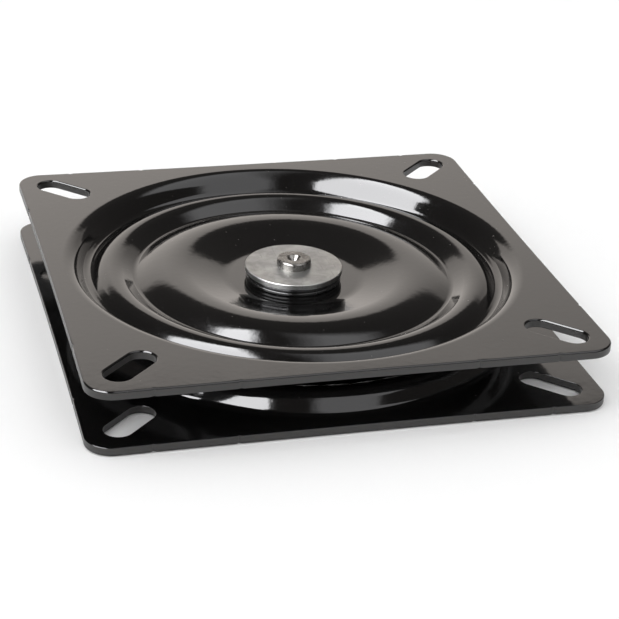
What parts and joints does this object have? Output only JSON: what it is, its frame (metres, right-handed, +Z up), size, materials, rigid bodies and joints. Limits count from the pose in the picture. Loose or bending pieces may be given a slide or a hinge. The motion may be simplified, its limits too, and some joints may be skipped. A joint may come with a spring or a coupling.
{
  "type": "swivel seat base",
  "caption": "Square pressed-steel seat swivel: two black dished plates turning on a ring of balls about a central rivet, with diagonal bolt slots in the corners.",
  "frame": {"origin": "centre of the lower plate's underside, on the turning axis", "axes": "+Z up along the turning axis; X and Y parallel to the plates' sides, -Y toward the front"},
  "size_m": [0.178, 0.178, 0.0232],
  "materials": {
    "black_enamel": "gloss black stoved enamel",
    "bright_steel": "zinc-plated, dull grey",
    "dark_steel": "worn steel",
    "black_ring": "smooth black",
    "ball_steel": "polished"
  },
  "bodies": {
    "base": {"base_plate": "black_enamel", "centre_rivet": "dark_steel", "steel_washer": "bright_steel", "upper_ring": "black_ring"},
    "seat": {"seat_plate": "black_enamel", "lower_ring": "black_ring"},
    "ball_ring": {"ball_01": "ball_steel", "ball_02": "ball_steel", "ball_03": "ball_steel", "ball_04": "ball_steel", "ball_05": "ball_steel", "ball_06": "ball_steel", "ball_07": "ball_steel", "ball_08": "ball_steel", "ball_09": "ball_steel", "ball_10": "ball_steel", "ball_11": "ball_steel", "ball_12": "ball_steel", "ball_13": "ball_steel", "ball_14": "ball_steel", "ball_15": "ball_steel", "ball_16": "ball_steel", "ball_17": "ball_steel", "ball_18": "ball_steel", "ball_19": "ball_steel", "ball_20": "ball_steel", "ball_21": "ball_steel", "ball_22": "ball_steel", "ball_23": "ball_steel", "ball_24": "ball_steel", "ball_25": "ball_steel", "ball_26": "ball_steel", "ball_27": "ball_steel", "ball_28": "ball_steel", "ball_29": "ball_steel", "ball_30": "ball_steel", "ball_31": "ball_steel", "ball_32": "ball_steel", "ball_33": "ball_steel", "ball_34": "ball_steel", "ball_35": "ball_steel", "ball_36": "ball_steel", "ball_37": "ball_steel", "ball_38": "ball_steel", "ball_39": "ball_steel", "ball_40": "ball_steel", "ball_41": "ball_steel", "ball_42": "ball_steel", "ball_43": "ball_steel"}
  },
  "joints": [
    {"name": "seat_swivel", "type": "hinge", "parent": "base", "child": "seat", "pos_m": [0, 0, 0], "axis": [0, 0, 1], "continuous": true},
    {"name": "ball_orbit", "type": "hinge", "parent": "base", "child": "ball_ring", "pos_m": [0, 0, 0.0116], "axis": [0, 0, 1], "continuous": true}
  ],
  "couplings": [
    {"joint": "ball_orbit", "follows": "seat_swivel", "ratio": 0.5}
  ]
}
